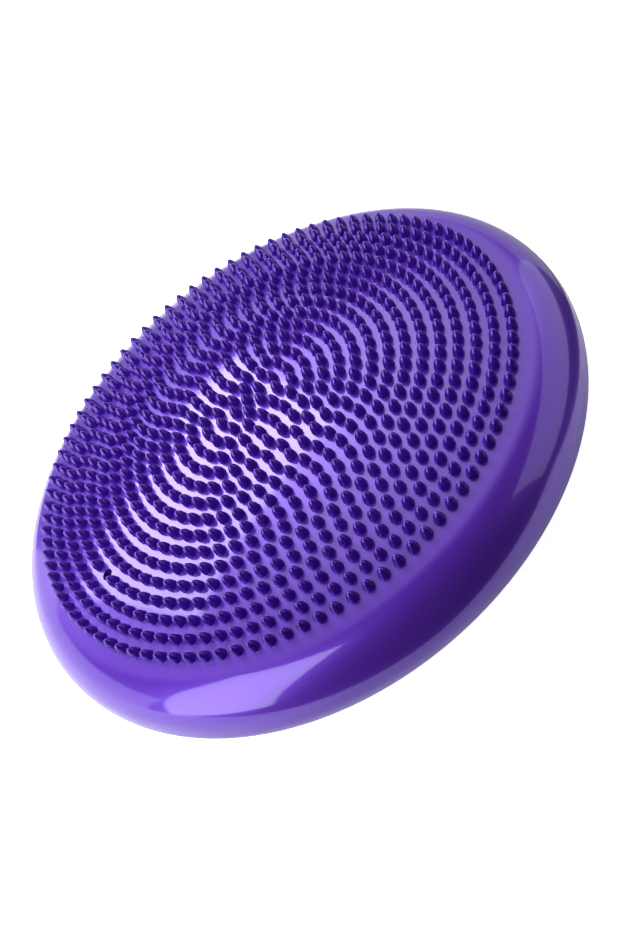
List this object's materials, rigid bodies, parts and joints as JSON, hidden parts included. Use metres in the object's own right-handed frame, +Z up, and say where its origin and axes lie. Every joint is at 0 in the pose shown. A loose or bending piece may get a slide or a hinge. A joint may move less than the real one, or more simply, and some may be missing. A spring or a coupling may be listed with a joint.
{
  "type": "inflatable balance pad",
  "caption": "Round inflatable balance pad: nubbed dome, smooth rounded rim, dotted base with a flat land, and a needle valve in the dome.",
  "frame": {"origin": "centre of the flat medallion under the pad, which is the bottom centre of its box", "axes": "+Z up along the pad's axis, out of the nubbed dome; the needle valve is near -X, seen from above"},
  "size_m": [0.33, 0.33, 0.0836],
  "materials": {
    "pvc_upper": "glossy soft PVC, pearl purple",
    "pvc_nubs": "glossy soft PVC, moulded with the upper skin",
    "pvc_lower": "glossy soft PVC, pearl purple",
    "pvc_dots": "glossy soft PVC, moulded with the lower skin",
    "weld": "fused PVC",
    "valve_pvc": "satin moulded PVC",
    "valve_rubber": "matte black rubber"
  },
  "bodies": {
    "root": {"upper_skin": "pvc_upper", "lower_skin": "pvc_lower", "seam_weld": "weld", "base_medallion": "pvc_lower", "centre_nub": "pvc_nubs", "nub_ring_01": "pvc_nubs", "nub_ring_02": "pvc_nubs", "nub_ring_03": "pvc_nubs", "nub_ring_04": "pvc_nubs", "nub_ring_05": "pvc_nubs", "nub_ring_06": "pvc_nubs", "nub_ring_07": "pvc_nubs", "nub_ring_08": "pvc_nubs", "nub_ring_09": "pvc_nubs", "nub_ring_10": "pvc_nubs", "nub_ring_11": "pvc_nubs", "nub_ring_12": "pvc_nubs", "nub_ring_13": "pvc_nubs", "nub_ring_14": "pvc_nubs", "nub_ring_15": "pvc_nubs", "nub_ring_16": "pvc_nubs", "base_dot_ring_1": "pvc_dots", "base_dot_ring_2": "pvc_dots", "base_dot_ring_3": "pvc_dots", "base_dot_ring_4": "pvc_dots", "base_dot_ring_5": "pvc_dots", "base_dot_ring_6": "pvc_dots", "base_dot_ring_7": "pvc_dots", "valve_body": "valve_pvc", "valve_plug": "valve_rubber"}
  },
  "joints": []
}
